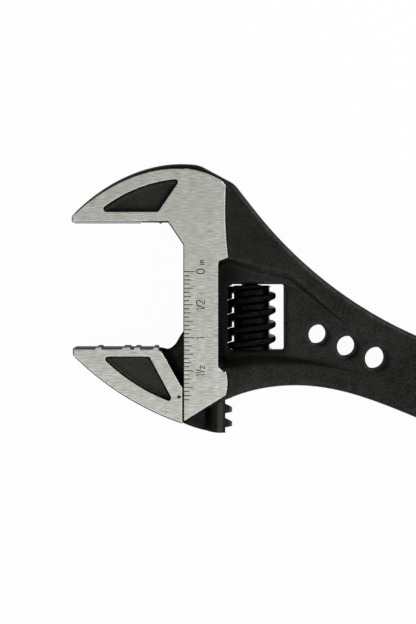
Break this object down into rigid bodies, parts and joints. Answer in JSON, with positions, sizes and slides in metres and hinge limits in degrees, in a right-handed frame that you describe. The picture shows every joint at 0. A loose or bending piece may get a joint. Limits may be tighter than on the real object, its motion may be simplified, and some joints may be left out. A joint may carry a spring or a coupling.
{
  "type": "adjustable wrench",
  "caption": "Wide-opening adjustable wrench: forged frame with fixed jaw and pierced neck, and a sliding jaw moved by a worm and rack.",
  "frame": {"origin": "on the fixed jaw's gripping face, on the middle plane, 30 mm from the throat edge of the column", "axes": "+X from the jaw tips towards the handle, +Y from the movable jaw to the fixed jaw, +Z out of the front face with the scale; the tool lies flat"},
  "size_m": [0.2348, 0.1329, 0.019],
  "materials": {
    "black_forging": "black oxide forging with brushed bright ground faces on jaw and column",
    "ground_jaw": "brushed bright ground faces, black elsewhere",
    "black_worm": "black oxide, satin",
    "pin_steel": "black oxide",
    "spring_steel": "bare spring wire"
  },
  "bodies": {
    "frame": {"frame": "black_forging", "worm_pin": "pin_steel", "worm_spring": "spring_steel"},
    "jaw": {"movable_jaw": "ground_jaw"},
    "worm": {"worm": "black_worm"}
  },
  "joints": [
    {"name": "jaw_slide", "type": "slide", "parent": "frame", "child": "jaw", "axis": [0, -1, 0], "range_m": [-0.0481, 0.002]},
    {"name": "worm_spin", "type": "hinge", "parent": "frame", "child": "worm", "pos_m": [0.0567, -0.0372, 0], "axis": [0, 1, 0], "range_deg": [-3120, 132]}
  ],
  "couplings": [
    {"joint": "worm_spin", "follows": "jaw_slide", "rad_per_m": 1130.8}
  ]
}
